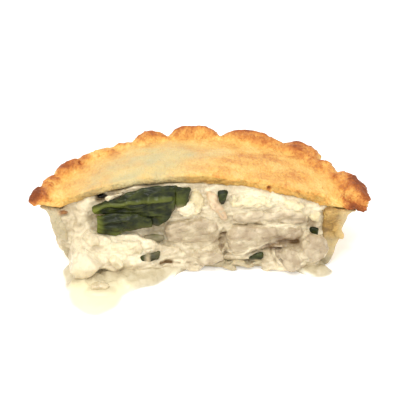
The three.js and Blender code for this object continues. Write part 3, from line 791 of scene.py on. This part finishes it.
# Hollows where the filling has pulled away, as (centre, radii, depth).
DENTS = [
    ((31.8, 1, 11.8), (7, 7, 4), 2),
    ((27, 1, 9.8), (6, 6, 2), 0.8),
    ((-20, 1, 30), (16, 8, 4.4), 0.8),
    ((9.8, 2, 12.4), (2.2, 6, 4), 1.2),
    ((9.4, 1, 6.8), (2, 5, 1.6), 1),
    ((-35, 2, 27.6), (3, 6, 1.8), 4),
    ((-37.6, -5, 12.4), (2.4, 8, 1.4), 0.6),
    ((21, 1, 18.2), (5, 6, 1.2), 0.6),
    ((-34.6, -13, 2), (5, 8, 3.8), 2.6),
]

# Painted shade in the deeper parts of the cut face, nearly black painted shade in a gap, and paler parts,
# as (centre, radii, amount).
FACE_SHADE = [
    ((32, 2, 12), (7, 9, 4), 0.9),
    ((27.4, 1, 9.8), (6, 9, 2.4), 0.9),
    ((37, 0, 11.6), (3.4, 9, 3.6), 0.6),
    ((-29.7, -8, 7), (2, 5, 1.6), 0.6),
    ((9.6, 3, 11.6), (2.6, 9, 5), 0.35),
    ((43, 2, 17.6), (2, 9, 3), 0.5),
    ((-35, 3, 27.6), (3, 9, 1.7), 1.4),
    ((-34.6, -12, 2.4), (4, 8, 2.6), 0.45),
    ((-37, -6, 12), (3, 9, 2), 0.3),
]
FACE_GAP_SHADE = [((-34.9, 3, 27.6), (2.8, 9, 1.5), 2)]
FACE_PALE = [
    ((-41, -10, 7), (9, 9, 8), 1.1),
    ((-30, 0, 11), (20, 20, 10), 0.7),
    ((22, 0, 28), (16, 20, 4.4), 0.7),
    ((36, 0, 25), (9, 20, 4), 0.5),
    ((-2, 0, 26), (6, 20, 6), 0.3),
    ((0, 0, 14), (13, 20, 6), -0.35),
    ((28, 0, 12), (18, 20, 6), -0.25),
    ((-46, 0, 20), (6, 20, 8), -0.15),
    ((-3.4, 0, 24.6), (5, 20, 5), 0.9),
    ((12, 0, 11), (6, 20, 5), -0.2),
]

# Flat faces of the cut chicken, each (direction, depth in millimetres that it takes off).
FLAT_FACES = {
    "chicken_spilled": [((0.1, -0.8, 0.6), 1.6), ((0.7, -0.4, -0.6), 1.6), ((0.7, -0.2, 0.7), 1.2)],
    "chicken_low_right": [((0, -0.8, 0.6), 1.8), ((-0.8, -0.2, -0.6), 2.8), ((0.6, -0.7, -0.4), 1.4)],
    "chicken_right": [((0.1, -0.9, 0.4), 1.4), ((0.8, -0.4, 0.5), 1.2), ((-0.5, -0.6, 0.6), 1)],
}


def filled_in():
    """The filling and its pieces, swollen into one and shrunk again, which closes their gaps."""
    carried = [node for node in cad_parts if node.startswith(("chicken", "cheese"))]
    swollen = []
    for node in ["filling", *carried]:
        obj = remeshed("swollen", node, SWOLLEN_VOXEL)
        flatten(obj.data, FLAT_FACES.get(node, ()))
        push(obj.data, CLOSING)
        swollen.append(obj)
    obj = joined("filling_cream", swollen, JOINED_VOXEL)
    push(obj.data, -CLOSING - SINK)
    return obj


def creamy_filling():
    """The filling's cream, about level with the pieces' faces, with lumps, folds and hollows."""
    lumps = CREAM_LUMPS + beads_below_lid() + beads_at_walls()
    obj = joined("filling_cream", [filled_in()], FILLING_VOXEL, smoothing=14, blobs=lumps)
    refine(obj, lambda points: points[:, 1] < FRONT_DEPTH)
    mesh = obj.data
    points, normals = points_of(mesh), normals_of(mesh)
    torn = smoothstep(points[:, 0], -24, -6)  # the cream is smooth on the left
    relief = 0.8 * noise_at(points, 6, 101) + 0.25 * noise_at(turned(points, 15), (5, 3, 1.2), 103)
    tears = 0.35 * shards(points, (7, 4, 2.6), 102) + 0.45 * ledges(turned(points, 12), 2.2, 105)
    relief += torn * tears
    front = fade(points[:, 1], FRONT_DEPTH, FRONT_DEPTH + 4)
    cracks = front * strokes(points, CRACKS) * (0.9 + 0.6 * noise_at(points, 2.4, 121))
    creases = front * strokes(points, CREASES) * ragged(points)
    swell = SWELL * fade(-normals[:, 1], 0.2, 0.7) * smoothstep(points[:, 2], 3, 6)
    push(mesh, front * (relief + swell) - creases - cracks - patches(points, DENTS))
    points = points_of(mesh)
    hollow_shade = smoothstep(hollowness(obj, 16), 0.05, 0.5)
    pale = 0.35 + 0.4 * noise_at(points, 6, 104) + 0.5 * noise_at(points, (3, 3, 1.2), 106)
    # paler on the relief's ridges, a painted highlight, over the cream's own paler parts
    paint(mesh, "pale", pale + patches(points, FACE_PALE) + 0.4 * relief)
    paint(mesh, "coated", np.ones(len(points)))
    # painted shade in hollows, creases, cracks and the deeper parts of the face
    paint(mesh, "painted_shade", 0.3 * torn * hollow_shade + 0.35 * creases + cracks + patches(points, FACE_SHADE))
    # nearly black painted shade in a gap
    paint(mesh, "gap_shade", patches(points, FACE_GAP_SHADE))
    dress(obj, "filling", FILLING, "filling")
    return tree_of(mesh)


def above(tree, mesh):
    """How far each vertex stands out of the surface in a tree, in millimetres."""
    heights = []
    for vert in mesh.vertices:
        place, normal, _, _ = tree.find_nearest(vert.co)
        heights.append((vert.co - place).dot(normal) / MM)
    return np.array(heights)


class Look(NamedTuple):
    """How a piece of food is made from its CAD node, in millimetres and in shares from 0 to 1."""

    grow: float  # how far it stands out of the cream
    coat: float  # how much cream is on its border
    least: float = 0  # how much cream is on all of it
    uneven: float = 0.9  # how far its corners are pulled about
    voxel: float = 0.35
    drop: float = 0  # how far it lies below its node


def food(name, node, slot, material, relief, cream, seed, look):
    """A piece of food in the shape of its CAD node, with its own relief, that stands in the cream."""
    obj = remeshed(name, node, look.voxel, smoothing=2, uneven=look.uneven, seed=seed)
    mesh = obj.data
    flatten(mesh, FLAT_FACES.get(node, ()))
    points = points_of(mesh)
    height = relief(points)
    creases = strokes(points, CREASES) * ragged(points)
    push(mesh, look.grow + height - creases - patches(points, DENTS))
    set_points(mesh, points_of(mesh) - (0, 0, look.drop))
    points = points_of(mesh)
    out = above(cream, mesh)
    hollow_shade = smoothstep(hollowness(obj, 12), 0.05, 0.4)
    rims = strokes(points, RIMS)
    border = fade(out + 0.7 * noise_at(points, 3, 50) - 0.4 * rims, 0, 0.9)
    paint(mesh, "coated", np.maximum(look.coat * border, look.least) + rims)
    # paler where the relief stands out, a painted highlight, over the piece's own paler parts
    pale = 0.3 + 0.4 * noise_at(points, 3, 51) + patches(points, FACE_PALE) + 0.7 * height
    paint(mesh, "pale", pale + rims)
    # painted shade in hollows, creases and the deeper parts of the face
    paint(mesh, "painted_shade", 0.3 * hollow_shade + 0.35 * creases + patches(points, FACE_SHADE))
    dress(obj, slot, material, node)


# Each piece of chicken: how its fibres run, in degrees above +X, how rough it is, how far it stands
# out of the cream in millimetres, and how much cream is on it.
CHICKEN_LOOKS = {
    "chicken_spilled": (60, 0.3, 0.3, 0.6),
    "chicken_left": (80, 0.4, -0.9, 0.7),
    "chicken_middle": (20, 0.8, 0.2, 0.1),
    "chicken_low_middle": (10, 0.8, 0, 0.3),
    "chicken_strip": (-60, 0.9, 0.2, 0.25),
    "chicken_upper_right": (4, 1, 0.3, 0.2),
    "chicken_slab": (14, 1, 0.5, 0),
    "chicken_right": (-50, 0.6, 0.5, 0),
    "chicken_low_right": (-70, 0.4, 0.6, 0.2),
}


def chicken_pieces(cream):
    for seed, (node, (angle, rough, grow, least)) in enumerate(CHICKEN_LOOKS.items()):

        def relief(points, seed=seed, angle=angle, rough=rough):
            along = turned(points, angle)
            fibres = 0.2 * noise_at(along, (7, 1.1, 1.1), seed) + 0.5 * ledges(along, 1.7, seed)
            flakes = 0.8 * shards(along, (8, 4, 3.4), seed + 10)
            facets = 1.2 * (1 - rough) * shards(points, 9, seed + 40)
            return rough * (fibres + flakes) + facets + 0.3 * noise_at(points, 6, seed + 20)

        # The pink strip is nearly free of cream.
        material, coat = (PINK_MEAT, 0.3) if node == "chicken_strip" else (CHICKEN, 1)
        look = Look(grow, coat, least, uneven=rough)
        food(node + "_meat", node, "chicken", material, relief, cream, seed, look)


# The white lumps: how each looks, and how crumbly it is. The last two lie under thin cream.
CHEESE_LOOKS = {
    "cheese_1": (Look(1.1, 0.3), 0.9),
    "cheese_2": (Look(0.3, 0.8), 0.9),
    "cheese_3": (Look(0.3, 0.8), 0.9),
    "cheese_4": (Look(0.3, 0.8), 0.9),
    "cheese_5": (Look(0.3, 0.8, 0.7), 0),
    "cheese_6": (Look(0.3, 0.8, 0.7), 0),
}


def cheese_pieces(cream):
    for seed, (node, (look, crumbly)) in enumerate(CHEESE_LOOKS.items(), start=1):

        def relief(points, seed=seed, crumbly=crumbly):
            crumbs = crumbly * shards(points, (3.6, 3, 2), seed + 60)
            return crumbs + 0.4 * noise_at(points, 2.4, seed + 70) + 0.25 * noise_at(points, 1, seed + 80)

        food(node + "_lump", node, "cheese", CHEESE, relief, cream, seed, look)


VEGETABLE_LOOKS = {
    "leek_piece": Look(0.3, 0.3, 0, uneven=0.3, voxel=0.3),
    "onion_slice": Look(0, 0.3, 0.3, uneven=0.3, voxel=0.3),
    "onion_piece": Look(-0.1, 0.3, 0.3, uneven=0.3, voxel=0.3, drop=1.1),
}
VEGETABLE_SEED = 3


def vegetable_fibres(points):
    return 0.25 * noise_at(turned(points, -50), (6, 0.9, 0.9), 80) + 0.1 * noise_at(points, 1.5, 81)


def vegetables(cream):
    for node, look in VEGETABLE_LOOKS.items():
        name = node + "_cooked"
        food(name, node, "vegetable", ONION, vegetable_fibres, cream, VEGETABLE_SEED, look)


# The spinach: where its pleats would meet, how fast they follow one another round that point, its
# midrib, and where its leaves are lighter or under cream, as (centre, radii, amount).
LEAF_STEM = (-56, 21)
PLEATS = 30
MIDRIB = [(-38, 24.8), (-34, 26.2), (-26, 27.6), (-18, 28.6), (-9.6, 29.2)]
LEAF_LIGHT = [
    ((-37, 0, 18), (4, 20, 9), 0.8),
    ((-27, 0, 15.6), (9, 20, 2), 0.35),
    ((-6, 0, 29), (4, 20, 5), 0.3),
    ((-38, 0, 24), (4, 20, 3), 0.3),
    ((-19, 0, 19), (5, 20, 2), 0.3),
]
LEAF_UNDER_CREAM = [
    ((-16, 0, 13), (14, 20, 7), 0.38),
    ((-5, 0, 24.4), (5, 20, 4), 1.2),
    ((-18, 0, 6.8), (1.8, 20, 3), 1.2),
    ((22, 0, 3.4), (5, 20, 1.8), 1.3),
]

LEAF_VOXEL = 0.25
LEAF_GROW = 0.45  # how much thicker the leaves are than their nodes, on each side
LEAF_FORWARD = 0.6  # how far they stand in front of their nodes


def spinach_leaves():
    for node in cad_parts:
        if not node.startswith("spinach"):
            continue
        obj = remeshed(node + "_leaf", node, LEAF_VOXEL, smoothing=2)
        mesh = obj.data
        points = points_of(mesh)
        rib = strokes(points, [(MIDRIB, 0.8, 1)])
        fan = np.arctan2(points[:, 2] - LEAF_STEM[1], points[:, 0] - LEAF_STEM[0])
        folds = np.abs(np.sin(PLEATS * fan + 3 * noise_at(points, (12, 40, 5), 90)))
        wave = 0.5 * folds + 0.7 * noise_at(points, (5, 40, 3), 91) + 0.12 * noise_at(points, 1.2, 92)
        out = wave - 0.7 * rib - LEAF_FORWARD
        ragged_edge = [0.8 * noise_at(points, 4, 95), out, 0.5 * noise_at(points, 3.4, 96)]
        tucked = 1.2 * smoothstep(points[:, 2], 28.4, 31.4) * (points[:, 0] < 0)  # under the lid
        set_points(mesh, points + np.stack(ragged_edge, axis=1) + tucked[:, None] * (0, 0.4, 1))
        push(mesh, LEAF_GROW)
        ridges = fade(folds, 0, 0.25)
        light = 0.12 * ridges + 0.5 * rib + patches(points, LEAF_LIGHT) + 0.2 * noise_at(points, 3, 93)
        paint(mesh, "vein", light)
        under = patches(points, LEAF_UNDER_CREAM) * (1 + 0.9 * noise_at(points, 2.4, 94))
        paint(mesh, "coated", under)
        dress(obj, "spinach", SPINACH, node)


def away_from(tree, mesh):
    """How far each vertex is from the surface in a tree, in millimetres."""
    return np.array([tree.find_nearest(vert.co)[3] / MM for vert in mesh.vertices])


def inside_edge(mesh):
    """How far each vertex is from the mesh's upright edge, seen from above."""
    points, normals = points_of(mesh), normals_of(mesh)
    edge = points[np.abs(normals[:, 2]) < 0.5]
    tree = KDTree(len(edge))
    for index, (x, y, _) in enumerate(edge.tolist()):
        tree.insert((x, y, 0), index)
    tree.balance()
    return np.array([tree.find((x, y, 0))[2] for x, y, _ in points.tolist()])


SAUCE_VOXEL = 0.4
FILM = 0.02  # the sauce's thickness at its edge
CLING = 3  # how high the sauce stands where it touches the cream
TUCK = 1.2  # how far it is drawn in under the cream there


def sauce(cream):
    """Sauce thins out towards its edge, is thick and lumpy near the pie and clings to the cream."""
    onion = tree_of(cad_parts["onion_piece"].data)
    for node in ("sauce_pool", "sauce_trickle"):
        obj = remeshed(node + "_liquid", node, SAUCE_VOXEL, smoothing=3)
        mesh = obj.data
        inside = inside_edge(mesh)
        points = points_of(mesh)
        near_pie = fade(-points[:, 1] + 3 * noise_at(points, 7, 111), 14, 21)
        thickness = FILM + 0.9 * smoothstep(inside, 0, 7)
        lumps = 1.9 + 0.9 * noise_at(points, 3, 112) + 0.9 * shards(points, 4, 113)
        thickness += near_pie * lumps * smoothstep(inside, 0.4, 3)
        touching = fade(away_from(cream, mesh), 0.6, 5)
        thickness = np.maximum(thickness, touching * (CLING + 1.2 * noise_at(points, 4, 114)))
        round_onion = fade(away_from(onion, mesh), 1.2, 4)
        thickness = np.maximum(thickness, 2 * round_onion)
        points[:, 1] += TUCK * touching
        points[:, 0] += 1.2 * noise_at(points, 5, 115)  # an uneven outline
        points[:, 2] = np.where(points[:, 2] > FLAT_BELOW, np.maximum(thickness, FILM), 0)
        set_points(mesh, points)
        normals = normals_of(mesh)
        normals[(inside < 1) & (touching < 0.1)] = (0, 0, 1)  # a film's end isn't seen as a wall
        mesh.normals_split_custom_set_from_vertices(normals.tolist())
        near_pie = np.maximum(near_pie, 0.7 * round_onion)
        paint(mesh, "thick", np.maximum(0.9 * near_pie * smoothstep(inside, 0, 1.2), touching))
        paint(mesh, "edge", fade(inside, 0, 2.4) * (1 - touching))
        dress(obj, "sauce", SAUCE, node)


# ---------------------------------------------------------------- stage, light and camera

TARGET = np.array([1.1, 0.0, 28.2])  # where the camera looks, in the pie's millimetres
DISTANCE = 407.0
ELEVATION = 28.0
SENSOR_WIDTH = 36
LENS = 100

FLOOR_HALF_WIDTH = 3  # in metres
FLOOR_LIGHT = 0.21  # keeps the floor near white behind the pie
ROOM_LIGHT = 0.91

# Square lamps, as (name, place in metres, width in metres, power in watts).
LAMPS = [
    ("key", (-0.2, -0.32, 0.92), 0.6, 4.2),
    ("fill", (0.4, -0.8, 0.5), 0.7, 0.8),
    ("spark", (-0.12, -0.5, 0.5), 0.07, 1.1),
]


def floor():
    shape = bmesh.new()
    bmesh.ops.create_grid(shape, x_segments=1, y_segments=1, size=FLOOR_HALF_WIDTH)
    mesh = bpy.data.meshes.new("floor")
    shape.to_mesh(mesh)
    shape.free()
    obj = new_object("floor", mesh)
    nodes = Nodes("pale_floor")
    nodes.set(Base_Color=(0.95, 0.95, 0.95, 1), Roughness=0.6)
    nodes.set(Emission_Color=(1, 1, 1, 1), Emission_Strength=FLOOR_LIGHT)
    mesh.materials.append(nodes.material)


def aim(obj, place, direction):
    """Puts a lamp or a camera at a place, facing along a direction."""
    obj.location = place
    obj.rotation_mode = "QUATERNION"
    obj.rotation_quaternion = direction.to_track_quat("-Z", "Y")


def soft_light(name, place, size, power):
    """A square lamp that faces the pie."""
    data = bpy.data.lights.new(name, "AREA")
    data.size = size
    data.energy = power
    aim(new_object(name, data), place, -Vector(place))


def lights():
    world = bpy.data.worlds.new("studio")
    world.use_nodes = True
    background = world.node_tree.nodes["Background"]
    background.inputs["Color"].default_value = (1, 1, 1, 1)
    background.inputs["Strength"].default_value = ROOM_LIGHT
    bpy.context.scene.world = world
    for name, place, size, power in LAMPS:
        soft_light(name, place, size, power)


def camera():
    data = bpy.data.cameras.new("camera")
    data.sensor_width = SENSOR_WIDTH
    data.lens = LENS
    tilt = math.radians(ELEVATION)
    back = Vector((0, -math.cos(tilt), math.sin(tilt)))
    obj = new_object("camera", data)
    aim(obj, Vector((TARGET + PIE_CENTRE) * MM) + back * DISTANCE * MM, -back)
    bpy.context.scene.camera = obj


bpy.context.scene.view_settings.view_transform = "Standard"
camera()
floor()
lights()
pastry_lid()
pastry_case()
cream = creamy_filling()
chicken_pieces(cream)
cheese_pieces(cream)
vegetables(cream)
spinach_leaves()
sauce(cream)
